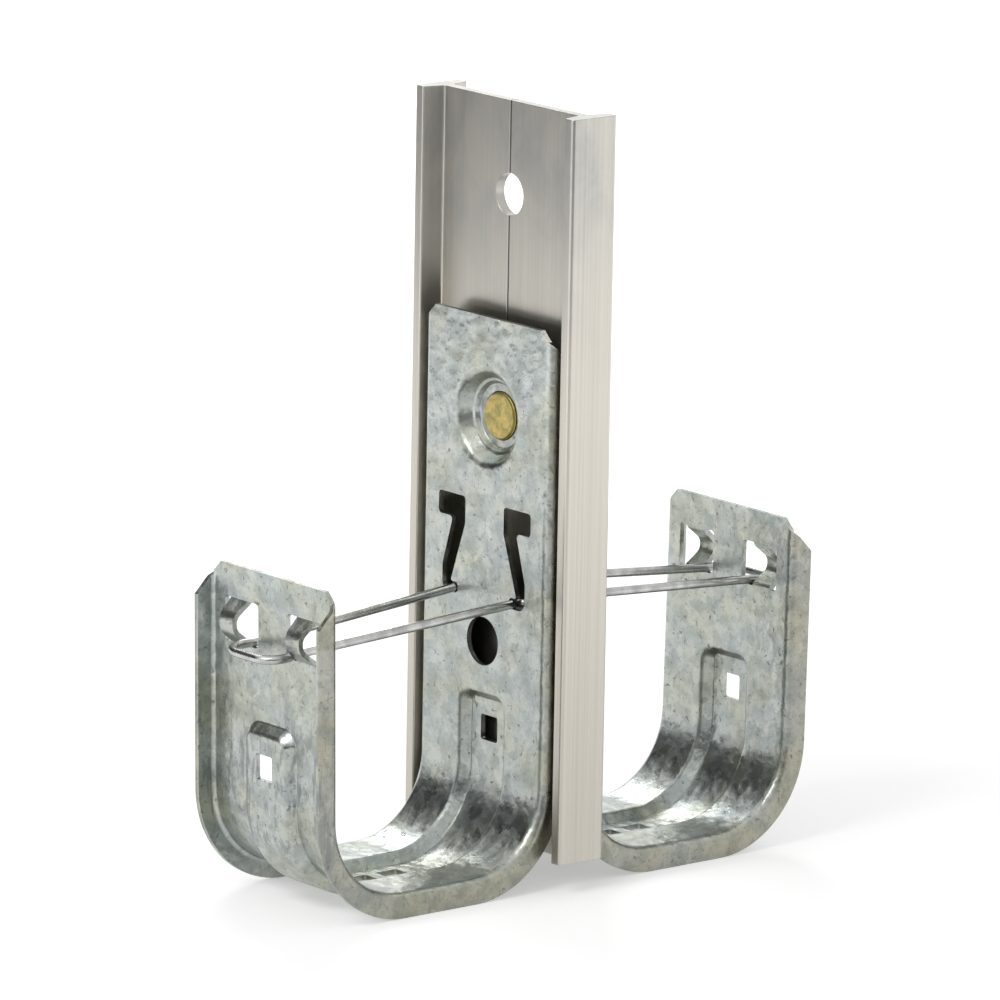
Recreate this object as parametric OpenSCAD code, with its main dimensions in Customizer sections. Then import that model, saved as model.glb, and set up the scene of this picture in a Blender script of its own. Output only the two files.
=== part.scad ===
// Double J-hook cable support: two folded sheet-steel hooks bolted back to back
// through the web of a short H-section beam, each closed by a sprung wire retainer.
// X runs across the beam, the front hook reaches toward -Y, Z is up, and the lowest
// edges of the hooks' rims stand on Z = 0.

/* [Beam] */
// Width over both flanges
beam_w = 49; // [47:0.5:60]
// Depth of a flange, front to back
beam_d = 11; // [10:0.1:13]
// Length of the beam
beam_h = 147.2; // [130:0.2:250]
// Height of the beam's lower end above the hooks' lowest edges
beam_lift = 6.2; // [1:0.1:12]
// Thickness of a flange at its edges
flange_tip_t = 2.7; // [2:0.1:3]
// Thickness of a flange where it meets the web
flange_root_t = 3.9; // [3.2:0.1:4.5]
// Thickness of the web
web_t = 2.2; // [1.6:0.1:3]
// Diameter of the hanging hole
hang_d = 8.4; // [5:0.1:12]
// Distance of the hanging hole below the beam's top
hang_below_top = 18.5; // [10:0.5:24]
// Width of the fine groove down the middle of each web face
groove_w = 0.5; // [0.3:0.05:1]
// Depth of that groove
groove_d = 0.3; // [0.1:0.05:0.5]

/* [Hook sheet] */
// Thickness of the sheet
sheet_t = 1.05; // [0.8:0.05:1.3]
// Depth of the folded rims, from the face that carries the cables
rim_d = 4.85; // [4.4:0.05:6]
// Outside radius of the rims' folds
rim_r = 2; // [1.6:0.1:2.4]
// Gap at each side between a hook and the flange's root
side_gap = 0.9; // [0.3:0.1:1.5]

/* [Hook shape] */
// Clear width of the loop at its bottom
loop_w = 50; // [45:0.5:70]
// Height of the back leg above the loop's bottom
back_leg_h = 106.3; // [100:0.1:120]
// Height of the outer leg above the loop's bottom
outer_leg_h = 61.5; // [59:0.1:70]
// Inside radius of the bend at the back leg
back_bend_r = 16.3; // [13:0.1:18]
// Inside radius of the bend at the outer leg
outer_bend_r = 16.5; // [13:0.1:18]
// Outward lean of the outer leg, in degrees
splay = 1; // [0.5:0.1:3]
// 45 degree cut across each upper corner, measured on the flat blank
corner_cut = 6.6; // [4:0.1:7]

/* [Rib] */
// Width of the rib between its upper edges
rib_w = 14; // [11:0.1:15]
// Depth of the rib
rib_depth = 2.1; // [1.2:0.1:2.4]
// Slope of the rib's walls, in degrees
rib_slope = 50; // [45:1:65]
// Height of the rib's two ends above the loop's bottom
rib_end_h = 31.5; // [29:0.1:33]
// Radius of the rib's end corners, seen square on
rib_corner_r = 3.3; // [3:0.1:4.5]
// Side of the square holes in the rib's floor
square_hole = 5.1; // [3:0.1:5.5]
// Height of the square hole in each leg, to its middle
leg_hole_h = 23.8; // [22.5:0.1:24.5]
// Distance between the middles of the two square holes in the loop's bottom
bottom_hole_pitch = 7.5; // [7:0.1:9]

/* [Dish and bolt] */
// Distance of the dish below the back leg's top
dish_below_top = 20; // [16:0.5:22]
// Radius of the dish where its wall meets the flat sheet
dish_r = 9.4; // [9:0.1:11]
// Radius of the ledge half way down the dish
ledge_r = 7.6; // [7.4:0.1:8]
// Depth of that ledge
ledge_d = 2.7; // [2:0.1:2.9]
// Radius of the dish's flat floor
dish_floor_r = 6.4; // [6.2:0.1:6.5]
// Diameter of the bolt over its thread
bolt_d = 9.5; // [6:0.1:10]
// How far the bolt's end stands out of the front dish's floor
bolt_end = 0.9; // [0.3:0.1:1.5]
// Diameter of the bolt's low round head
head_d = 12.4; // [11:0.1:12.6]
// Height of that head
head_h = 2.6; // [1.5:0.1:3]
// Width across flats of the key socket in the head
socket_af = 5; // [3:0.5:5.5]
// Radial gap of the bolt in the dishes' holes
thread_gap = 0.15; // [0.1:0.05:0.3]
// Radial gap of the bolt in the web's hole
web_gap = 0.4; // [0.2:0.1:0.8]

/* [Slots in the back leg] */
// Height of the slots' lower ends above the loop's bottom
slot_h = 49.8; // [49:0.1:52]
// Overall height of a slot
slot_tall = 19.8; // [18:0.1:21]
// Height of the wide head at the top of a slot
slot_head_h = 4.6; // [4:0.1:6]
// Inner edge of the head, from the middle of the hook
slot_head_in = 5.95; // [5.5:0.05:6.5]
// Outer edge of the head, from the middle of the hook
slot_head_out = 14.25; // [13.5:0.05:14.5]
// Outer edge of the slot's lower end
slot_foot_out = 12.8; // [12.5:0.1:13.4]
// Inner edge of the short foot that holds the retainer
slot_foot_in = 8; // [7.6:0.1:8.2]
// Height of that foot
slot_foot_h = 2.2; // [2:0.1:2.6]
// Width of the slot's neck, measured across the hook
slot_neck_w = 3.2; // [2.4:0.1:3.6]
// Diameter of the round hole below the slots
round_hole_d = 9.7; // [6:0.1:10]
// Height of that hole's middle above the loop's bottom
round_hole_h = 41.7; // [39.5:0.1:43]

/* [Windows and straps of the outer leg] */
// Height of the windows' lower edges above the loop's bottom
window_h = 46.2; // [44:0.1:47]
// Height of a window
window_tall = 8.8; // [8.4:0.1:9.5]
// Inner edge of a window, from the middle of the hook
window_in = 4.4; // [4:0.1:4.6]
// Outer edge of a window
window_out = 14.9; // [14.4:0.1:15]
// Distance of a strap's middle from the middle of the hook
strap_x = 10.4; // [10.2:0.1:10.8]
// Width of a strap at its crest
strap_w = 4.15; // [3.4:0.05:4.4]
// Extra half width of a strap at its roots
strap_flare = 0.6; // [0.3:0.1:0.7]
// How far a strap is pushed out of the sheet
strap_bulge = 3.25; // [2.4:0.05:3.6]
// Slope of a strap's two ramps, in degrees
strap_slope = 60; // [52:1:65]

/* [Retainer] */
// Diameter of the wire
wire_d = 1.8; // [1.2:0.1:1.9]
// Distance of an arm from the middle at the back leg
arm_back_x = 9.2; // [8.9:0.1:9.4]
// Distance of an arm from the middle at the outer leg
arm_front_x = 6.35; // [6:0.05:6.4]
// How far the wire's middle line reaches beyond the outer leg's inner face
bow_reach = 8.2; // [7.5:0.1:10]
// Half width between the corners of the bow outside the leg
bow_half_w = 8.5; // [7:0.1:8.6]
// Radius of the bow's corners
bow_r = 4; // [3:0.1:4.5]
// Length of the bent tips behind the back leg
tip_len = 3.4; // [3:0.1:4]

/* [Hidden] */

arc_steps = 5;            // straight steps in each small rounded corner
past = 1;                 // how far a cutter runs past what it cuts
flange_corner_r = 0.9;    // outer corners of the flanges
flange_edge_r = 0.4;      // inner corners of the flanges' edges
web_root_r = 0.5;         // fillets between web and flanges
lip_r = 1.6;              // cable-side radius of the rib's upper edges
floor_r = 0.6;            // cable-side radius at the rib's and the dish's floor
dish_lip_r = 2;           // cable-side radius of the dish's upper edge
ledge_w = 0.6;            // width of the dish's ledge
ledge_drop = 0.15;        // fall of the ledge across its width
hole_corner_r = 0.5;      // corners of the square holes and the windows
slot_corner_r = 0.8;      // sharp corners of the slots
slot_end_r = 1.8;         // outer corner of a slot's lower end
strap_root_r = 1.4;       // cable-side radius where a strap leaves the sheet
strap_crest_r = 0.6;      // cable-side radius at the ends of a strap's crest
wire_lift = 0.1;          // gap of the wire over the slot's and the window's lower edges
tip_gap = 0.7;            // gap between the wire's bent tips and the back leg
tip_r = 1.5;              // middle-line radius of the wire's bent tips
knee_r = 5;               // middle-line radius of the wire's bend at the outer leg
wire_sides = 12;          // flats round the wire
wire_steps = 7;           // straight steps in each bend of the wire
wire_chamfer = 0.25;      // chamfer of the wire's cut ends
bolt_chamfer = 0.5;       // chamfer of the bolt's end
head_chamfer = 0.6;       // chamfer of the bolt's head
socket_d = 1.8;           // depth of the key socket

back_face = web_t / 2 + rim_d;                    // cable-side face of a back leg, from the web's middle
hook_half_w = beam_w / 2 - flange_root_t - side_gap;
dish_depth = rim_d - sheet_t;                     // the dish's floor seats on the web
dish_h = back_leg_h - dish_below_top;
bolt_z = rim_d + dish_h;
floor_face = web_t / 2 + sheet_t;                 // cable-side face of a dish's floor, from the web's middle
outer_tangent = outer_bend_r * tan((90 - splay) / 2);
bottom_len = loop_w - back_bend_r - outer_tangent;
bottom_mid = back_bend_r + bottom_len / 2;
rib_half_w = rib_w / 2;
rib_floor_half_w = rib_half_w - rib_depth / tan(rib_slope);
rib_corner_x = rib_half_w - rib_corner_r;
rib_corner_h = rib_end_h - rib_corner_r;
arm_back_h = slot_h + wire_d / 2 + wire_lift;
arm_front_h = window_h + wire_d / 2 + wire_lift;
wire_tilt = atan((arm_back_h - arm_front_h) / loop_w);

// ---- outlines ----

function unit(v) = v / norm(v);

function turn_between(a0, a1) =
    let (t = a1 - a0) t > 180 ? t - 360 : t < -180 ? t + 360 : t;

// The points of one rounded corner p, between its neighbours p0 and p1, on a line
// that runs shift to the left of the path. The arc keeps its centre as it shifts.
function corner(p0, p, p1, r, shift, steps = arc_steps) =
    let (
        a = unit(p0 - p),
        b = unit(p1 - p),
        half = acos(a * b) / 2,
        centre = p + unit(a + b) * r / sin(half),
        from = p + a * r / tan(half) - centre,
        to = p + b * r / tan(half) - centre,
        a0 = atan2(from.y, from.x),
        turn = turn_between(a0, atan2(to.y, to.x)),
        radius = turn > 0 ? r - shift : r + shift
    )
    [for (i = [0:steps]) centre + radius * [cos(a0 + turn * i / steps), sin(a0 + turn * i / steps)]];

// A closed outline with its corners rounded, each by its own radius.
function rounded(p, radii) =
    let (n = len(p))
    [for (i = [0:n - 1]) each radii[i] > 0
        ? corner(p[(i + n - 1) % n], p[i], p[(i + 1) % n], radii[i], 0) : [p[i]]];

// One side of a folded sheet: the open path with its inner corners rounded, moved
// shift to its left. A shift of 0 is the cable side, sheet_t is the other side.
function sheet_side(path, radii, shift, steps = arc_steps) =
    let (
        n = len(path),
        first = unit(path[1] - path[0]),
        last = unit(path[n - 1] - path[n - 2])
    )
    concat(
        [path[0] + shift * [-first.y, first.x]],
        [for (i = [1:n - 2]) each corner(path[i - 1], path[i], path[i + 1], radii[i - 1], shift, steps)],
        [path[n - 1] + shift * [-last.y, last.x]]
    );

function backwards(list) = [for (i = [len(list) - 1:-1:0]) list[i]];

// The closed section of a folded sheet.
function folded(path, radii) =
    concat(sheet_side(path, radii, 0), backwards(sheet_side(path, radii, sheet_t)));

// The area between one side of a pressed form and a level above or inside the sheet.
function pressed(path, radii, shift, level) =
    concat([[path[0].x, level]], sheet_side(path, radii, shift), [[path[len(path) - 1].x, level]]);

// Across the hook, [x, depth from the cable side]: the plain channel and the ribbed one.
plain_path = [[-hook_half_w, rim_d], [-hook_half_w, 0], [hook_half_w, 0], [hook_half_w, rim_d]];
plain_section = folded(plain_path, [rim_r, rim_r]);
ribbed_path = [
    [-hook_half_w, rim_d], [-hook_half_w, 0],
    [-rib_half_w, 0], [-rib_floor_half_w, rib_depth],
    [rib_floor_half_w, rib_depth], [rib_half_w, 0],
    [hook_half_w, 0], [hook_half_w, rim_d]
];
ribbed_section = folded(ribbed_path, [rim_r, lip_r, floor_r, floor_r, lip_r, rim_r]);

// From the middle of a rib end's corner outward, [distance, depth].
rib_end_path = [
    [0, rib_depth], [rib_floor_half_w - rib_corner_x, rib_depth],
    [rib_corner_r, 0], [rib_corner_r + lip_r, 0]
];
rib_end_radii = [floor_r, lip_r];

// From the middle of the dish outward, [distance, depth].
dish_path = [
    [0, dish_depth], [dish_floor_r, dish_depth],
    [ledge_r - ledge_w, ledge_d + ledge_drop], [ledge_r, ledge_d],
    [dish_r, 0], [dish_r + dish_lip_r, 0]
];
dish_radii = [floor_r / 2, 0.2, 0.2, dish_lip_r];

// Up a strap, [height, depth].
strap_run = strap_bulge / tan(strap_slope);
strap_root = strap_root_r * tan(strap_slope / 2);
strap_path = [
    [window_h - past, 0], [window_h + strap_root, 0],
    [window_h + strap_root + strap_run, strap_bulge],
    [window_h + window_tall - strap_root - strap_run, strap_bulge],
    [window_h + window_tall - strap_root, 0], [window_h + window_tall + past, 0]
];
strap_radii = [strap_root_r, strap_crest_r, strap_crest_r, strap_root_r];

// ---- beam ----

module beam_section() {
    flange_in_tip = beam_w / 2 - flange_tip_t;
    flange_in_root = beam_w / 2 - flange_root_t;
    // A quarter of the outline, from the groove to the flange's outer side
    quarter = [
        [0, web_t / 2 - groove_d], [groove_w / 2, web_t / 2],
        [flange_in_root, web_t / 2], [flange_in_tip, beam_d / 2], [beam_w / 2, beam_d / 2]
    ];
    quarter_r = [0, 0, web_root_r, flange_edge_r, flange_corner_r];
    count = len(quarter) - 1;
    outline = concat(
        quarter,
        [for (i = [count:-1:0]) [quarter[i].x, -quarter[i].y]],
        [for (i = [1:count]) [-quarter[i].x, -quarter[i].y]],
        [for (i = [count:-1:1]) [-quarter[i].x, quarter[i].y]]
    );
    radii = concat(
        quarter_r, backwards(quarter_r),
        [for (i = [1:count]) quarter_r[i]], [for (i = [count:-1:1]) quarter_r[i]]
    );
    polygon(rounded(outline, radii));
}

module cross_hole(d, z) {
    translate([0, 0, z])
        rotate([90, 0, 0])
            cylinder(d = d, h = web_t + 2 * past, center = true, $fn = 96);
}

module beam() {
    color("gainsboro")
        difference() {
            translate([0, 0, beam_lift])
                linear_extrude(beam_h)
                    beam_section();
            cross_hole(hang_d, beam_lift + beam_h - hang_below_top);
            cross_hole(bolt_d + 2 * web_gap, bolt_z);
        }
}

// ---- hook ----
// A hook is drawn reaching toward +Y. On each leg, X runs across, Y is the depth from
// the cable side, and Z is the height above the loop's bottom.

module on_back_leg() {
    translate([0, back_face, rim_d])
        rotate([0, 0, 180])
            children();
}

module on_outer_leg() {
    translate([0, back_face + loop_w - outer_tangent, rim_d + outer_bend_r])
        rotate([-splay, 0, 0])
            translate([0, outer_bend_r, -outer_tangent])
                children();
}

// Cuts an outline drawn in [x, height] through a leg.
module punch() {
    translate([0, rim_d + past, 0])
        rotate([90, 0, 0])
            linear_extrude(rim_d + 2 * past)
                children();
}

module square_punch() {
    half = square_hole / 2;
    polygon(rounded([[-half, -half], [half, -half], [half, half], [-half, half]],
                    [for (i = [1:4]) hole_corner_r]));
}

// The two upper corners of a leg: one cut on the face, one down the folded rim, which
// together lie on one 45 degree line of the flat blank.
module corner_cuts(top) {
    fold_len = (rim_r - sheet_t / 2) * PI / 2;
    blank_half_w = hook_half_w - rim_r + fold_len + rim_d - rim_r;
    start = blank_half_w - corner_cut;
    size = corner_cut + rim_d + past;
    rim_start = hook_half_w - 0.7 * rim_r;
    for (side = [-1, 1]) {
        translate([0, rim_d + past, 0])
            rotate([90, 0, 0])
                linear_extrude(rim_d + 2 * past)
                    polygon([[side * (start - past), top + past], [side * (start + size), top + past],
                             [side * (start + size), top - size]]);
        translate([side * (rim_start + size / 2), 0, top - corner_cut])
            rotate([90, 0, 90])
                linear_extrude(size, center = true)
                    polygon([[rim_d + past, -past], [rim_d + past, size + past], [rim_d - size, size + past],
                             [rim_d - size, size]]);
    }
}

// The rib's end on a leg, above the ribbed length: two round corners and the ramp
// between them. Drawn once as the metal pushed out and once as the hollow.
module rib_end(shift, level) {
    area = pressed(rib_end_path, rib_end_radii, shift, level);
    for (side = [0, 1])
        translate([(1 - 2 * side) * rib_corner_x, 0, rib_corner_h])
            rotate([-90, 0, 0])
                rotate([0, 0, -90 - 90 * side])
                    rotate_extrude(angle = 90, $fn = 64)
                        polygon(area);
    translate([rib_corner_x, 0, rib_corner_h])
        rotate([0, -90, 0])
            linear_extrude(2 * rib_corner_x)
                polygon(area);
}

// A leg's blank: ribbed up to the rib's end, plain above it, with its corners cut.
module leg(bend_h, top) {
    difference() {
        union() {
            translate([0, 0, bend_h])
                linear_extrude(rib_corner_h - bend_h)
                    polygon(ribbed_section);
            translate([0, 0, rib_corner_h])
                linear_extrude(top - rib_corner_h)
                    polygon(plain_section);
            rib_end(sheet_t, sheet_t / 2);
        }
        rib_end(0, -past);
        corner_cuts(top);
        translate([0, 0, leg_hole_h])
            punch()
                square_punch();
    }
}

// The dish, as the metal pushed back or as its hollow.
module dish(shift, level) {
    translate([0, 0, dish_h])
        rotate([-90, 0, 0])
            rotate_extrude($fn = 96)
                polygon(pressed(dish_path, dish_radii, shift, level));
}

// One slot: a wide head to put the wire's bent tip in, a slanting neck to slide it
// down, and a short foot that keeps it.
module slot_outline() {
    head_low = slot_h + slot_tall - slot_head_h;
    foot_top = slot_h + slot_foot_h;
    points = [
        [slot_head_in, slot_h + slot_tall],
        [slot_head_out, slot_h + slot_tall],
        [slot_head_out, head_low],
        [slot_head_in + 1.2 * slot_neck_w, head_low],
        [slot_foot_out, slot_h + slot_foot_h + slot_neck_w],
        [slot_foot_out, slot_h],
        [slot_foot_in, slot_h],
        [slot_foot_in, foot_top],
        [slot_foot_out - 0.8 * slot_neck_w, foot_top],
        [slot_head_in, head_low - slot_corner_r]
    ];
    r = slot_corner_r;
    polygon(rounded(points, [r, r, r, r, 2 * r, slot_end_r, r, r, r / 2, r]));
}

module back_leg() {
    difference() {
        union() {
            leg(back_bend_r, back_leg_h);
            dish(sheet_t, sheet_t / 2);
        }
        dish(0, -past);
        translate([0, 0, dish_h])
            rotate([-90, 0, 0])
                cylinder(d = bolt_d + 2 * thread_gap, h = rim_d + past, $fn = 96);
        punch()
            slot_outline();
        punch()
            mirror([1, 0, 0])
                slot_outline();
        translate([0, -past, round_hole_h])
            rotate([-90, 0, 0])
                cylinder(d = round_hole_d, h = rim_d, $fn = 96);
    }
}

module window_outline() {
    r = hole_corner_r;
    polygon(rounded([[window_in, window_h], [window_out, window_h],
                     [window_out, window_h + window_tall], [window_in, window_h + window_tall]],
                    [2 * r, r, r, 2 * r]));
}

// A strap lanced free at both sides and pushed out, a little wider at its roots.
module strap() {
    half_h = window_tall / 2;
    waist_r = (half_h * half_h + strap_flare * strap_flare) / (2 * strap_flare);
    width = strap_w + 4 * strap_flare;
    intersection() {
        translate([strap_x + width / 2, 0, 0])
            rotate([0, -90, 0])
                linear_extrude(width)
                    polygon(folded(strap_path, strap_radii));
        punch()
            difference() {
                translate([strap_x - width / 2, window_h - past])
                    square([width, window_tall + 2 * past]);
                for (side = [-1, 1])
                    translate([strap_x + side * (strap_w / 2 + waist_r), window_h + half_h])
                        circle(r = waist_r, $fn = 128);
            }
    }
}

module outer_leg() {
    difference() {
        leg(outer_tangent, outer_leg_h);
        punch()
            window_outline();
        punch()
            mirror([1, 0, 0])
                window_outline();
    }
    strap();
    mirror([1, 0, 0])
        strap();
}

// A bend of the ribbed section, turning from first to first + angle, where 0 points
// at the back leg and 90 points down.
module bend(r, y, first, angle) {
    translate([0, y, rim_d + r])
        rotate([-90, 0, -90])
            rotate([0, 0, first])
                rotate_extrude(angle = angle, $fn = 128)
                    polygon([for (p = ribbed_section) [r + p.y, p.x]]);
}

module loop_bottom() {
    difference() {
        translate([0, back_face + back_bend_r, rim_d])
            rotate([-90, 0, 0])
                linear_extrude(bottom_len)
                    polygon(ribbed_section);
        for (side = [-1, 1])
            translate([0, back_face + bottom_mid + side * bottom_hole_pitch / 2, 0])
                linear_extrude(rim_d + past)
                    square_punch();
    }
}

module hook() {
    on_back_leg()
        back_leg();
    bend(back_bend_r, back_face + back_bend_r, 0, 90);
    loop_bottom();
    bend(outer_bend_r, back_face + loop_w - outer_tangent, 90, 90 - splay);
    on_outer_leg()
        outer_leg();
}

module front_hook() {
    color("silver")
        rotate([0, 0, 180])
            hook();
}

module rear_hook() {
    color("silver")
        hook();
}

// ---- retainer ----
// The wire lies in one sloping plane. Its path is [x, distance from the back leg's
// cable-side face], from one bent tip round the bow to the other.

tip_y = -sheet_t - tip_gap - wire_d / 2;
half_wire = [
    [arm_back_x + tip_len, tip_y], [arm_back_x, tip_y],
    [arm_front_x, loop_w + sheet_t], [bow_half_w, loop_w + bow_reach]
];
half_wire_r = [tip_r, knee_r, bow_r];
wire_path = concat(half_wire, [for (i = [3:-1:0]) [-half_wire[i].x, half_wire[i].y]]);
wire_radii = concat(half_wire_r, backwards(half_wire_r));

// A round wire swept along a flat open path: one ring of points square to the path at
// each of its points, and two smaller rings that chamfer the cut ends.
module wire() {
    line = sheet_side(wire_path, wire_radii, 0, wire_steps);
    last = len(line) - 1;
    ahead = [for (i = [0:last - 1]) unit(line[i + 1] - line[i])];
    way = [for (i = [0:last]) unit(ahead[max(i - 1, 0)] + ahead[min(i, last - 1)])];
    // [point, half width in the path's plane, half height]
    r = wire_d / 2;
    body = [for (i = [0:last]) [line[i], r / (way[i] * ahead[min(i, last - 1)]), r]];
    cut = r - wire_chamfer;
    rings = concat(
        [[line[0], cut, cut], [line[0] + wire_chamfer * way[0], r, r]],
        [for (i = [1:last - 1]) body[i]],
        [[line[last] - wire_chamfer * way[last], r, r], [line[last], cut, cut]]
    );
    ways = concat([way[0]], way, [way[last]]);
    points = [for (i = [0:len(rings) - 1]) for (k = [0:wire_sides - 1])
        let (angle = 360 * k / wire_sides, side = rings[i][1] * cos(angle))
        [rings[i][0].x - side * ways[i].y, rings[i][0].y + side * ways[i].x, rings[i][2] * sin(angle)]];
    end = (len(rings) - 1) * wire_sides;
    polyhedron(points, concat(
        [[for (k = [0:wire_sides - 1]) k]],
        [for (i = [0:len(rings) - 2]) for (k = [0:wire_sides - 1])
            let (next = (k + 1) % wire_sides, from = i * wire_sides, to = from + wire_sides)
            [from + k, to + k, to + next, from + next]],
        [[for (k = [wire_sides - 1:-1:0]) end + k]]
    ));
}

module retainer() {
    translate([0, back_face, rim_d + arm_back_h])
        rotate([-wire_tilt, 0, 0])
            wire();
}

module front_retainer() {
    color("lightgray")
        rotate([0, 0, 180])
            retainer();
}

module rear_retainer() {
    color("lightgray")
        retainer();
}

// ---- bolt ----
// The head lies in the rear dish, and the end stands out in the front dish.

module bolt() {
    thread_r = bolt_d / 2;
    head_r = head_d / 2;
    end = floor_face + bolt_end;
    outline = [
        [0, -end], [thread_r - bolt_chamfer, -end], [thread_r, bolt_chamfer - end],
        [thread_r, floor_face], [head_r, floor_face],
        [head_r, floor_face + head_h - head_chamfer],
        [head_r - head_chamfer, floor_face + head_h], [0, floor_face + head_h]
    ];
    color("goldenrod")
        translate([0, 0, bolt_z])
            rotate([-90, 0, 0])
                difference() {
                    rotate_extrude($fn = 96)
                        polygon(outline);
                    translate([0, 0, floor_face + head_h - socket_d])
                        cylinder(d = socket_af / cos(30), h = socket_d + past, $fn = 6);
                }
}

beam();
front_hook();
rear_hook();
front_retainer();
rear_retainer();
bolt();
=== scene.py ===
import math

import bmesh
import bpy
from mathutils import Matrix, Vector

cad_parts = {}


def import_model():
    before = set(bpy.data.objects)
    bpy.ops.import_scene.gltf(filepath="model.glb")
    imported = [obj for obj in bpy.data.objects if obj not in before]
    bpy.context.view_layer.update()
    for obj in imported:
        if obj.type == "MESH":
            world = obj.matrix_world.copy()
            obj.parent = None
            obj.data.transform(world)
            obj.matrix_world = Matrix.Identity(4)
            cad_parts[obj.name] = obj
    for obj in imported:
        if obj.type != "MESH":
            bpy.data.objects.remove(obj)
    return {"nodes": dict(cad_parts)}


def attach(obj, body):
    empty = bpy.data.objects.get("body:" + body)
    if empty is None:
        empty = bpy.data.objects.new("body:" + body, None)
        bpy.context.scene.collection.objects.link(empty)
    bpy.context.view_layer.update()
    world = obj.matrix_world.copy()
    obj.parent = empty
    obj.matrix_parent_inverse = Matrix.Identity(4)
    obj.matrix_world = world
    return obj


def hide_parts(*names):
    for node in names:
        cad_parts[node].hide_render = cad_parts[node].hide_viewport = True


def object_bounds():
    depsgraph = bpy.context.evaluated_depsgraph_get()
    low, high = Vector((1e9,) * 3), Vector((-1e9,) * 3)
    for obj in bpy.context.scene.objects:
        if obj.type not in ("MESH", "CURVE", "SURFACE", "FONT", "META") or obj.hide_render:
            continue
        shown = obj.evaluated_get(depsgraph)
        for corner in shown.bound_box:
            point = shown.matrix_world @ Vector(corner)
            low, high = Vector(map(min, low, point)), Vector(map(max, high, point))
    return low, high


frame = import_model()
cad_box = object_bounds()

MM = 0.001
scene = bpy.context.scene


# ---- meshes ----

def link(name, mesh):
    piece = bpy.data.objects.new(name, mesh)
    scene.collection.objects.link(piece)
    return piece


def shade_smooth(mesh, angle):
    """Smooth faces, with the edges sharper than angle degrees kept sharp."""
    bm = bmesh.new()
    bm.from_mesh(mesh)
    for face in bm.faces:
        face.smooth = True
    for edge in bm.edges:
        edge.smooth = len(edge.link_faces) == 2 and edge.calc_face_angle(0) < math.radians(angle)
    bm.to_mesh(mesh)
    bm.free()


# The outer legs and their straps, in mm and in a leg's own heights
LEAN = math.radians(1)
LEG_Y, LEG_Z = 55.95, 4.85      # foot of an outer leg's cable side
SHEET = 1.05
WINDOW = (46.2, 55.0)           # lower and upper edge of a window
BULGE = 3.25                    # how far a strap stands out
STRAP_X = (6.9, 13.7)           # a window's sides, with a small margin
STRAP_DEPTH = (-0.1, 6)         # depths that hold the whole strap
SLICE = 0.3                     # height of the slices that let a strap bend
SOLID_STRAP = {"slope": 60, "root_r": 1.4, "crest_r": 0.6, "steps": 5}
ROUND_STRAP = {"slope": 50, "root_r": 1.2, "crest_r": 2.0, "steps": 12}


def offset_corner(p0, p, p1, r, shift, steps):
    """The arc of radius r at corner p, moved by shift, as steps + 1 points."""
    a, b = (p0 - p).normalized(), (p1 - p).normalized()
    half = a.angle(b) / 2
    centre = p + (a + b).normalized() * (r / math.sin(half))
    start = p + a * (r / math.tan(half)) - centre
    end = p + b * (r / math.tan(half)) - centre
    first = math.atan2(start.y, start.x)
    turn = (math.atan2(end.y, end.x) - first + math.pi) % (2 * math.pi) - math.pi
    radius = r - shift if turn > 0 else r + shift
    return [centre + radius * Vector((math.cos(first + turn * i / steps),
                                      math.sin(first + turn * i / steps)))
            for i in range(steps + 1)]


def strap_profile(shift, slope, root_r, crest_r, steps):
    """One side of a strap as (height, depth) points, shift from the cable side."""
    low, high = WINDOW
    angle = math.radians(slope)
    root = root_r * math.tan(angle / 2)
    run = BULGE / math.tan(angle)
    path = [Vector(p) for p in (
        (low - 1, 0), (low + root, 0), (low + root + run, BULGE),
        (high - root - run, BULGE), (high - root, 0), (high + 1, 0))]
    points = [path[0] + Vector((0, shift))]
    for i, r in zip(range(1, 5), (root_r, crest_r, crest_r, root_r)):
        points += offset_corner(path[i - 1], path[i], path[i + 1], r, shift, steps)
    return points + [path[-1] + Vector((0, shift))]


def depth_at(points, height):
    """The profile's depth at a height."""
    for a, b in zip(points, points[1:]):
        if a.x <= height <= b.x and b.x > a.x:
            return a.y + (b.y - a.y) * (height - a.x) / (b.x - a.x)
    return points[0].y


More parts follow.
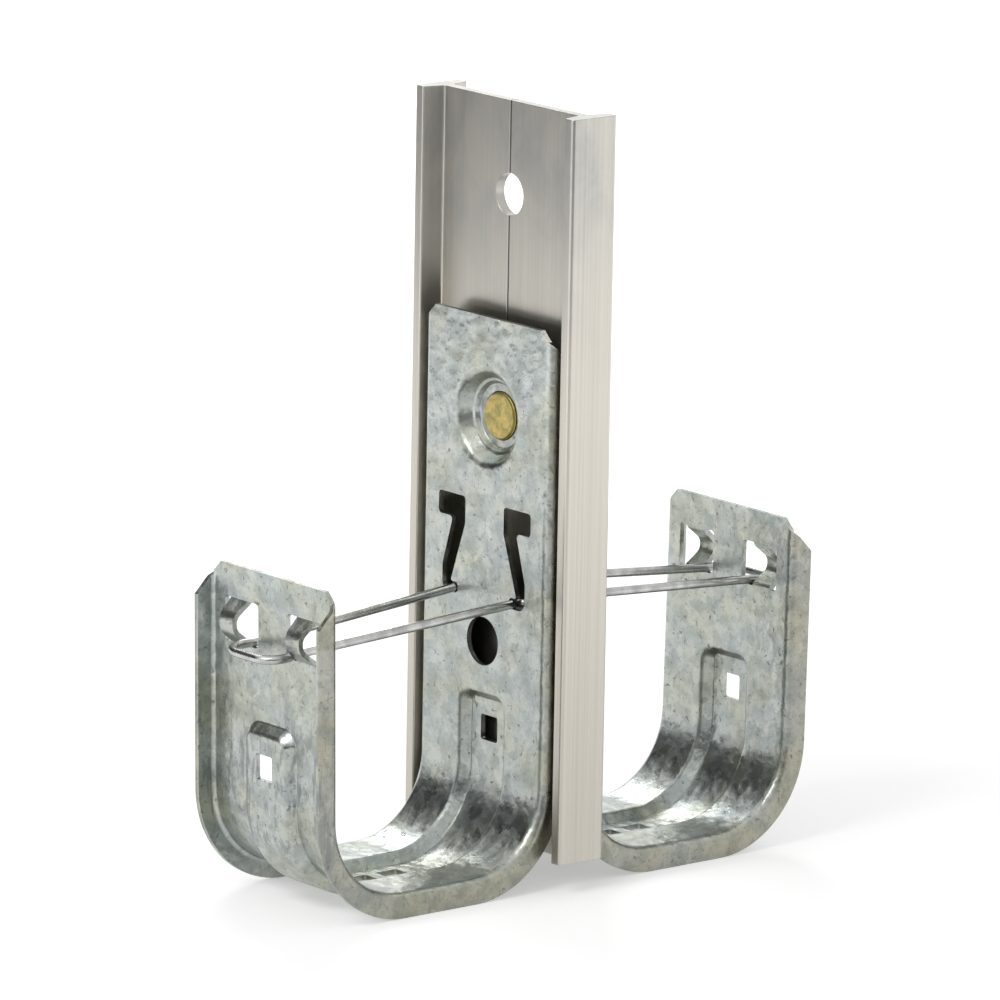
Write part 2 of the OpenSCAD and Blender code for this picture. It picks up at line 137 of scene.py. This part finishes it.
def round_straps(bm, side):
    """Gives the lanced straps of an outer leg the round crest of the real ones."""
    def to_leg(co):
        y, z = side * co.y / MM - LEG_Y, co.z / MM - LEG_Z
        return (abs(co.x) / MM, y * math.cos(LEAN) - z * math.sin(LEAN),
                y * math.sin(LEAN) + z * math.cos(LEAN))

    def to_frame(depth, height):
        y = LEG_Y + depth * math.cos(LEAN) + height * math.sin(LEAN)
        z = LEG_Z + height * math.cos(LEAN) - depth * math.sin(LEAN)
        return side * y * MM, z * MM

    def in_strap(vert):
        x, depth, height = to_leg(vert.co)
        return (STRAP_X[0] < x < STRAP_X[1] and STRAP_DEPTH[0] < depth < STRAP_DEPTH[1]
                and WINDOW[0] - 0.02 < height < WINDOW[1] + 0.02)

    up = Vector((0, side * math.sin(LEAN), math.cos(LEAN)))
    height = WINDOW[0] + SLICE
    while height < WINDOW[1] - 0.2:
        verts = [v for v in bm.verts if in_strap(v)]
        inside = set(verts)
        faces = [f for f in bm.faces if all(v in inside for v in f.verts)]
        edges = {e for f in faces for e in f.edges}
        y, z = to_frame(0, height)
        bmesh.ops.bisect_plane(bm, geom=verts + list(edges) + faces, dist=1e-7,
                               plane_co=(0, y, z), plane_no=up)
        height += SLICE
    old_in, old_out = (strap_profile(shift, **SOLID_STRAP) for shift in (0, SHEET))
    new_in, new_out = (strap_profile(shift, **ROUND_STRAP) for shift in (0, SHEET))
    for vert in bm.verts:
        if in_strap(vert):
            x, depth, height = to_leg(vert.co)
            inner, outer = depth_at(old_in, height), depth_at(old_out, height)
            part = min(max((depth - inner) / (outer - inner), 0), 1)
            inner, outer = depth_at(new_in, height), depth_at(new_out, height)
            vert.co.y, vert.co.z = to_frame(inner + part * (outer - inner), height)


WELD = 0.002            # distance at which doubled corners are joined, in mm
FLAT = 0.6              # faces this close in direction, in degrees, become one
SHARP = 38              # edges sharper than this, in degrees, are softened


def refined(node, name, edge_width, segments=2, angle=SHARP, strap_side=0):
    """The CAD node's form with whole faces, softened cut edges and smooth bends."""
    mesh = frame["nodes"][node].data.copy()
    mesh.materials.clear()
    bm = bmesh.new()
    bm.from_mesh(mesh)
    bmesh.ops.remove_doubles(bm, verts=bm.verts, dist=WELD * MM)
    bmesh.ops.dissolve_limit(
        bm, angle_limit=math.radians(FLAT), use_dissolve_boundaries=False,
        verts=bm.verts, edges=bm.edges, delimit=set())
    if strap_side:
        round_straps(bm, strap_side)
    bm.to_mesh(mesh)
    bm.free()
    shade_smooth(mesh, angle)
    piece = link(name, mesh)
    bevel = piece.modifiers.new("edges", "BEVEL")
    bevel.width = edge_width * MM
    bevel.segments = segments
    bevel.limit_method = "ANGLE"
    bevel.angle_limit = math.radians(angle)
    bevel.use_clamp_overlap = True
    bevel.harden_normals = False
    normals = piece.modifiers.new("normals", "WEIGHTED_NORMAL")
    normals.mode = "FACE_AREA"
    normals.keep_sharp = True
    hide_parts(node)
    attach(piece, "root")
    return piece


# ---- materials ----

class Shader:
    """A node material built step by step."""

    def __init__(self, name):
        self.material = bpy.data.materials.new(name)
        self.material.use_nodes = True
        self.tree = self.material.node_tree
        self.bsdf = self.tree.nodes["Principled BSDF"]

    def node(self, kind, **values):
        made = self.tree.nodes.new("ShaderNode" + kind)
        for key, value in values.items():
            setattr(made, key, value)
        return made

    def join(self, source, target):
        self.tree.links.new(source, target)

    def set(self, node, name, value):
        if hasattr(value, "is_linked"):
            self.join(value, node.inputs[name])
        else:
            node.inputs[name].default_value = value

    def place(self, scale, offset=(0, 0, 0), turn=(0, 0, 0)):
        """Object coordinates in metres, times scale."""
        coords = self.node("TexCoord").outputs["Object"]
        mapping = self.node("Mapping")
        self.join(coords, mapping.inputs["Vector"])
        mapping.inputs["Scale"].default_value = scale
        mapping.inputs["Location"].default_value = offset
        mapping.inputs["Rotation"].default_value = turn
        return mapping.outputs["Vector"]

    def noise(self, vector, scale=1.0, detail=2.0, rough=0.5, distortion=0.0):
        made = self.node("TexNoise")
        self.join(vector, made.inputs["Vector"])
        made.inputs["Scale"].default_value = scale
        made.inputs["Detail"].default_value = detail
        made.inputs["Roughness"].default_value = rough
        made.inputs["Distortion"].default_value = distortion
        return made.outputs["Fac"]

    def math(self, operation, a, b=0.0, clamp=False):
        made = self.node("Math", operation=operation, use_clamp=clamp)
        self.set(made, 0, a)
        self.set(made, 1, b)
        return made.outputs[0]

    def span(self, value, low, high, out_low=0.0, out_high=1.0, smooth=True):
        made = self.node("MapRange", interpolation_type="SMOOTHSTEP" if smooth else "LINEAR")
        self.join(value, made.inputs["Value"])
        made.inputs["From Min"].default_value = low
        made.inputs["From Max"].default_value = high
        made.inputs["To Min"].default_value = out_low
        made.inputs["To Max"].default_value = out_high
        return made.outputs["Result"]

    def mix(self, factor, a, b, blend="MIX"):
        made = self.node("Mix", data_type="RGBA", blend_type=blend)
        self.set(made, 0, factor)
        self.set(made, 6, a)
        self.set(made, 7, b)
        return made.outputs[2]

    def bump(self, height, distance, strength=1.0, normal=None):
        made = self.node("Bump")
        made.inputs["Distance"].default_value = distance
        made.inputs["Strength"].default_value = strength
        self.join(height, made.inputs["Height"])
        if normal is not None:
            self.join(normal, made.inputs["Normal"])
        return made.outputs["Normal"]


PER_MM = (1000, 1000, 1000)     # scale that gives a pattern one unit per mm
THREAD_PITCH = 0.6              # mm, a guess


def galvanised():
    s = Shader("galvanised_sheet")
    mm = s.place(PER_MM)
    # Zinc crystals: patches a few millimetres across with ragged borders
    warp = s.node("TexNoise")
    s.join(mm, warp.inputs["Vector"])
    warp.inputs["Scale"].default_value = 0.55
    warp.inputs["Detail"].default_value = 3
    push = s.node("VectorMath", operation="MULTIPLY_ADD")
    s.join(warp.outputs["Color"], push.inputs[0])
    push.inputs[1].default_value = (2.6, 2.6, 2.6)
    s.join(mm, push.inputs[2])
    crystals = s.node("TexVoronoi", feature="F1")
    s.join(push.outputs[0], crystals.inputs["Vector"])
    crystals.inputs["Scale"].default_value = 0.34
    cell = s.node("SeparateColor")
    s.join(crystals.outputs["Color"], cell.inputs[0])
    cloud = s.noise(mm, 0.28, 4, 0.6, 0.3)
    fine = s.noise(mm, 1.9, 4, 0.62, 0.2)
    tone = s.math("ADD", s.math("MULTIPLY", cell.outputs[0], 0.16),
                  s.math("MULTIPLY", cloud, 0.84))
    tone = s.math("ADD", s.math("MULTIPLY", tone, 0.72), s.math("MULTIPLY", fine, 0.28))
    colour = s.mix(s.span(tone, 0.36, 0.64), (0.35, 0.385, 0.38, 1), (0.51, 0.535, 0.51, 1))
    # A faint change from bluish to straw-coloured zinc
    tint = s.noise(s.place(PER_MM, (5, 11, 2)), 0.09, 2, 0.5)
    colour = s.mix(s.span(tint, 0.4, 0.62), colour, (0.97, 0.95, 0.86, 1), "MULTIPLY")
    # Dull grey smudges a millimetre or two across
    smudge = s.noise(s.place((1000, 1000, 700), (17, 3, 23)), 0.62, 3, 0.6, 0.5)
    colour = s.mix(s.math("MULTIPLY", s.span(smudge, 0.57, 0.68), 0.36), colour,
                   (0.2, 0.215, 0.21, 1))
    # The rims' sides are duller and warmer, and the front hook's outer leg is scuffed
    split = s.node("SeparateXYZ")
    s.join(mm, split.inputs[0])
    side = s.span(s.math("ABSOLUTE", split.outputs[0]), 18.6, 19.5)
    colour = s.mix(side, colour, (0.78, 0.74, 0.69, 1), "MULTIPLY")
    scuffs = s.noise(s.place((620, 620, 130), (4, 9, 1)), 1.0, 4, 0.62, 0.4)
    scuff = s.math("MULTIPLY", s.span(scuffs, 0.5, 0.58), s.span(split.outputs[1], -56.5, -57.2))
    scuff = s.math("MULTIPLY", scuff, s.span(split.outputs[2], 50, 30))
    colour = s.mix(s.math("MULTIPLY", scuff, 0.6), colour, (0.2, 0.215, 0.215, 1))
    # Small dark specks and pits
    specks = s.noise(s.place(PER_MM, (31, 7, 13)), 0.95, 2.5, 0.55, 0.6)
    speck = s.span(specks, 0.63, 0.7)
    colour = s.mix(s.math("MULTIPLY", speck, 0.62), colour, (0.16, 0.165, 0.165, 1))
    s.join(colour, s.bsdf.inputs["Base Color"])
    s.bsdf.inputs["Metallic"].default_value = 1.0
    rough = s.math("ADD", s.span(cell.outputs[1], 0, 1, 0.27, 0.38, False),
                   s.math("MULTIPLY", speck, 0.2))
    s.join(rough, s.bsdf.inputs["Roughness"])
    # The coat's hammered relief: shallow dents between the crystals, and fine grain
    dents = s.node("TexVoronoi", feature="SMOOTH_F1")
    sway = s.node("VectorMath", operation="MULTIPLY_ADD")
    s.join(warp.outputs["Color"], sway.inputs[0])
    sway.inputs[1].default_value = (1.3, 1.3, 1.3)
    s.join(mm, sway.inputs[2])
    s.join(sway.outputs[0], dents.inputs["Vector"])
    dents.inputs["Scale"].default_value = 0.4
    dents.inputs["Smoothness"].default_value = 0.55
    relief = s.math("ADD", s.math("MULTIPLY", dents.outputs["Distance"], 0.5),
                    s.math("MULTIPLY", cloud, 0.5))
    relief = s.math("ADD", relief, s.math("MULTIPLY", fine, 0.07))
    s.join(s.bump(relief, 0.0003), s.bsdf.inputs["Normal"])
    return s.material


def aluminium():
    s = Shader("extruded_aluminium")
    lines = s.noise(s.place((2600, 2600, 9)), 1.0, 3, 0.6)
    broad = s.noise(s.place((300, 300, 5), (3, 5, 1)), 1.0, 2, 0.5)
    tone = s.math("ADD", s.math("MULTIPLY", lines, 0.72), s.math("MULTIPLY", broad, 0.28))
    colour = s.mix(s.span(tone, 0.25, 0.75), (0.5, 0.475, 0.425, 1), (0.6, 0.57, 0.51, 1))
    # Painted shade: a bluish darkening toward the top that stands in for the darker reflection
    # there, and a painted dark line of shade in the web's groove
    split = s.node("SeparateXYZ")
    s.join(s.place(PER_MM), split.inputs[0])
    # Painted reflection: noise blotches a darkening that grows toward the top
    painted_top_shade = s.noise(s.place((90, 90, 60), (2, 8, 4)), 1.0, 4, 0.6, 0.5)
    top = s.span(split.outputs[2], 95, 150, 0, 1)
    painted_top_shade = s.math("MULTIPLY", s.span(painted_top_shade, 0.35, 0.7, 0.4, 1), s.math("MULTIPLY", top, 0.6))
    colour = s.mix(painted_top_shade, colour, (0.27, 0.29, 0.3, 1))
    # Painted shade: a near-black line along the web's groove, darkest at its centre
    middle = s.math("ABSOLUTE", split.outputs[0])
    colour = s.mix(s.span(middle, 0.14, 0.3, 0.85, 0), colour, (0.07, 0.07, 0.07, 1))
    s.join(colour, s.bsdf.inputs["Base Color"])
    s.bsdf.inputs["Metallic"].default_value = 1.0
    s.join(s.span(tone, 0.25, 0.75, 0.38, 0.3, False), s.bsdf.inputs["Roughness"])
    s.join(s.bump(tone, 0.000012), s.bsdf.inputs["Normal"])
    return s.material


def zinc_wire():
    s = Shader("zinc_wire")
    marks = s.noise(s.place((260, 260, 260)), 1.0, 2, 0.5)
    s.join(s.mix(s.span(marks, 0.35, 0.7), (0.4, 0.405, 0.4, 1), (0.6, 0.6, 0.585, 1)),
           s.bsdf.inputs["Base Color"])
    s.bsdf.inputs["Metallic"].default_value = 1.0
    s.join(s.span(marks, 0.3, 0.7, 0.32, 0.2, False), s.bsdf.inputs["Roughness"])
    s.join(s.bump(marks, 0.000006), s.bsdf.inputs["Normal"])
    return s.material


def yellow_zinc():
    s = Shader("yellow_zinc_steel")
    mm = s.place(PER_MM)
    cloud = s.noise(mm, 0.55, 4, 0.62, 0.8)
    fine = s.noise(mm, 3.0, 3, 0.6)
    tone = s.math("ADD", s.math("MULTIPLY", cloud, 0.75), s.math("MULTIPLY", fine, 0.25))
    s.join(s.mix(s.span(tone, 0.36, 0.66), (0.34, 0.3, 0.12, 1), (0.6, 0.46, 0.17, 1)),
           s.bsdf.inputs["Base Color"])
    s.bsdf.inputs["Metallic"].default_value = 1.0
    s.join(s.span(tone, 0.3, 0.7, 0.48, 0.34, False), s.bsdf.inputs["Roughness"])
    # Fine rings for the thread, which also run over the head's side
    split = s.node("SeparateXYZ")
    s.join(mm, split.inputs[0])
    turns = s.math("SINE", s.math("MULTIPLY", split.outputs[1], 2 * math.pi / THREAD_PITCH))
    s.join(s.bump(turns, 0.0001, 0.8, s.bump(tone, 0.00008)), s.bsdf.inputs["Normal"])
    return s.material


# ---- the hooks and the beam ----

front_hook = refined("front_hook", "front_hook_sheet", 0.14, strap_side=-1)
rear_hook = refined("rear_hook", "rear_hook_sheet", 0.14, strap_side=1)
beam = refined("beam", "beam_profile", 0.22)
bolt = refined("bolt", "bolt_steel", 0.1)
front_wire = refined("front_retainer", "front_retainer_wire", 0.01, 1, 60)
rear_wire = refined("rear_retainer", "rear_retainer_wire", 0.01, 1, 60)

sheet_metal = galvanised()
for piece in (front_hook, rear_hook):
    piece.data.materials.append(sheet_metal)
beam.data.materials.append(aluminium())
bolt.data.materials.append(yellow_zinc())
wire_metal = zinc_wire()
for piece in (front_wire, rear_wire):
    piece.data.materials.append(wire_metal)


# ---- camera ----

AZIMUTH = math.radians(50.855)      # from -Y toward +X
ELEVATION = math.radians(12.325)
ROLL = math.radians(1.016)
DISTANCE = 1.75024                  # metres, like TARGET
TARGET = Vector((0, -0.00211, 0.07432))
SENSOR, LENS = 36, 322.61           # mm

back = Vector((math.sin(AZIMUTH) * math.cos(ELEVATION),
               -math.cos(AZIMUTH) * math.cos(ELEVATION), math.sin(ELEVATION)))
level = Vector((math.cos(AZIMUTH), math.sin(AZIMUTH), 0))
above = back.cross(level)
right = math.cos(ROLL) * level + math.sin(ROLL) * above
up = back.cross(right)
camera = bpy.data.objects.new("camera", bpy.data.cameras.new("camera"))
scene.collection.objects.link(camera)
camera.matrix_world = Matrix.Translation(TARGET + DISTANCE * back) @ Matrix(
    (right, up, back)).transposed().to_4x4()
camera.data.sensor_width = SENSOR
camera.data.lens = LENS
camera.data.clip_start = 0.05
camera.data.clip_end = 50
scene.camera = camera


# ---- studio ----

WHITE = (1, 1, 1, 1)
MIDDLE = (0, 0, 0.07)       # the point that the lamps and cards face
WORLD_LIGHT = 0.55          # the world's strength as light; what is seen of it is 1
FLOOR_HALF = 6.0
FLOOR_GLOW = (0.4, 1.0)     # the floor's added glow at the object and away from it
FLOOR_RISE = (0.12, 0.6)    # distances between which that glow rises
CARD_LEVEL = 0.05


def emission_material(name, strength):
    material = bpy.data.materials.new(name)
    material.use_nodes = True
    tree = material.node_tree
    tree.nodes.clear()
    out = tree.nodes.new("ShaderNodeOutputMaterial")
    glow = tree.nodes.new("ShaderNodeEmission")
    glow.inputs["Color"].default_value = WHITE
    glow.inputs["Strength"].default_value = strength
    tree.links.new(glow.outputs[0], out.inputs[0])
    return material


def facing(location, target):
    """The turn that makes -Z at location point at target."""
    return (Vector(target) - Vector(location)).to_track_quat("-Z", "Y").to_matrix().to_4x4()


def softbox(name, location, width, height, power):
    lamp = bpy.data.lights.new(name, "AREA")
    lamp.shape = "RECTANGLE"
    lamp.size = width
    lamp.size_y = height
    lamp.energy = power
    box = bpy.data.objects.new(name, lamp)
    scene.collection.objects.link(box)
    box.matrix_world = Matrix.Translation(location) @ facing(location, MIDDLE)


def card(name, location, target, width, height):
    """A plain card that only reflections see."""
    mesh = bpy.data.meshes.new(name)
    w, h = width / 2, height / 2
    mesh.from_pydata([(-w, -h, 0), (w, -h, 0), (w, h, 0), (-w, h, 0)], [], [(0, 1, 2, 3)])
    made = link(name, mesh)
    made.matrix_world = Matrix.Translation(location) @ facing(location, target)
    mesh.materials.append(emission_material(name, CARD_LEVEL))
    made.visible_camera = False
    made.visible_diffuse = False
    made.visible_shadow = False


def seen(tree):
    """1 for rays from the camera, from reflections and through glass, 0 for light."""
    path = tree.nodes.new("ShaderNodeLightPath")
    total = path.outputs["Is Camera Ray"]
    for name in ("Is Glossy Ray", "Is Transmission Ray"):
        add = tree.nodes.new("ShaderNodeMath")
        add.operation = "MAXIMUM"
        tree.links.new(total, add.inputs[0])
        tree.links.new(path.outputs[name], add.inputs[1])
        total = add.outputs[0]
    return total


def world():
    made = bpy.data.worlds.new("studio")
    made.use_nodes = True
    tree = made.node_tree
    tree.nodes.clear()
    out = tree.nodes.new("ShaderNodeOutputWorld")
    light = tree.nodes.new("ShaderNodeBackground")
    light.inputs["Color"].default_value = WHITE
    light.inputs["Strength"].default_value = WORLD_LIGHT
    white = tree.nodes.new("ShaderNodeBackground")
    white.inputs["Color"].default_value = WHITE
    white.inputs["Strength"].default_value = 1.0
    pick = tree.nodes.new("ShaderNodeMixShader")
    tree.links.new(seen(tree), pick.inputs[0])
    tree.links.new(light.outputs[0], pick.inputs[1])
    tree.links.new(white.outputs[0], pick.inputs[2])
    tree.links.new(pick.outputs[0], out.inputs[0])
    scene.world = made


def floor():
    mesh = bpy.data.meshes.new("floor")
    half = FLOOR_HALF
    mesh.from_pydata([(-half, -half, 0), (half, -half, 0), (half, half, 0), (-half, half, 0)],
                     [], [(0, 1, 2, 3)])
    made = link("floor", mesh)
    made.location.z = cad_box[0][2] - 0.02 * MM
    material = bpy.data.materials.new("floor")
    material.use_nodes = True
    tree = material.node_tree
    tree.nodes.clear()
    out = tree.nodes.new("ShaderNodeOutputMaterial")
    matt = tree.nodes.new("ShaderNodeBsdfDiffuse")
    matt.inputs["Color"].default_value = (0.8, 0.8, 0.8, 1)
    glow = tree.nodes.new("ShaderNodeEmission")
    glow.inputs["Color"].default_value = WHITE
    # The glow brings the lit floor up to white, and is full well away from the object
    place = tree.nodes.new("ShaderNodeTexCoord")
    away = tree.nodes.new("ShaderNodeVectorMath")
    away.operation = "LENGTH"
    tree.links.new(place.outputs["Object"], away.inputs[0])
    rise = tree.nodes.new("ShaderNodeMapRange")
    rise.interpolation_type = "SMOOTHSTEP"
    rise.inputs["From Min"].default_value = FLOOR_RISE[0]
    rise.inputs["From Max"].default_value = FLOOR_RISE[1]
    rise.inputs["To Min"].default_value = FLOOR_GLOW[0]
    rise.inputs["To Max"].default_value = FLOOR_GLOW[1]
    tree.links.new(away.outputs["Value"], rise.inputs["Value"])
    times = tree.nodes.new("ShaderNodeMath")
    times.operation = "MULTIPLY"
    tree.links.new(rise.outputs[0], times.inputs[0])
    tree.links.new(seen(tree), times.inputs[1])
    tree.links.new(times.outputs[0], glow.inputs["Strength"])
    both = tree.nodes.new("ShaderNodeAddShader")
    tree.links.new(matt.outputs[0], both.inputs[0])
    tree.links.new(glow.outputs[0], both.inputs[1])
    tree.links.new(both.outputs[0], out.inputs[0])
    mesh.materials.append(material)


world()
floor()
# Places in metres, then width, height and, for a lamp, watts
softbox("key", (0.12, -1.05, 1.15), 0.7, 0.5, 7)
softbox("side", (-1.1, 0.55, 0.95), 0.6, 0.6, 5)
card("dark_left", (-0.6, -0.3, 0.33), MIDDLE, 0.9, 0.5)
card("dark_far", (-0.95, -0.75, 0.01), (-0.95, -0.75, 1), 1.0, 0.9)
card("dark_front", (0.42, -0.36, 0.09), (0, 0, 0.05), 0.7, 0.26)

scene.view_settings.view_transform = "Standard"
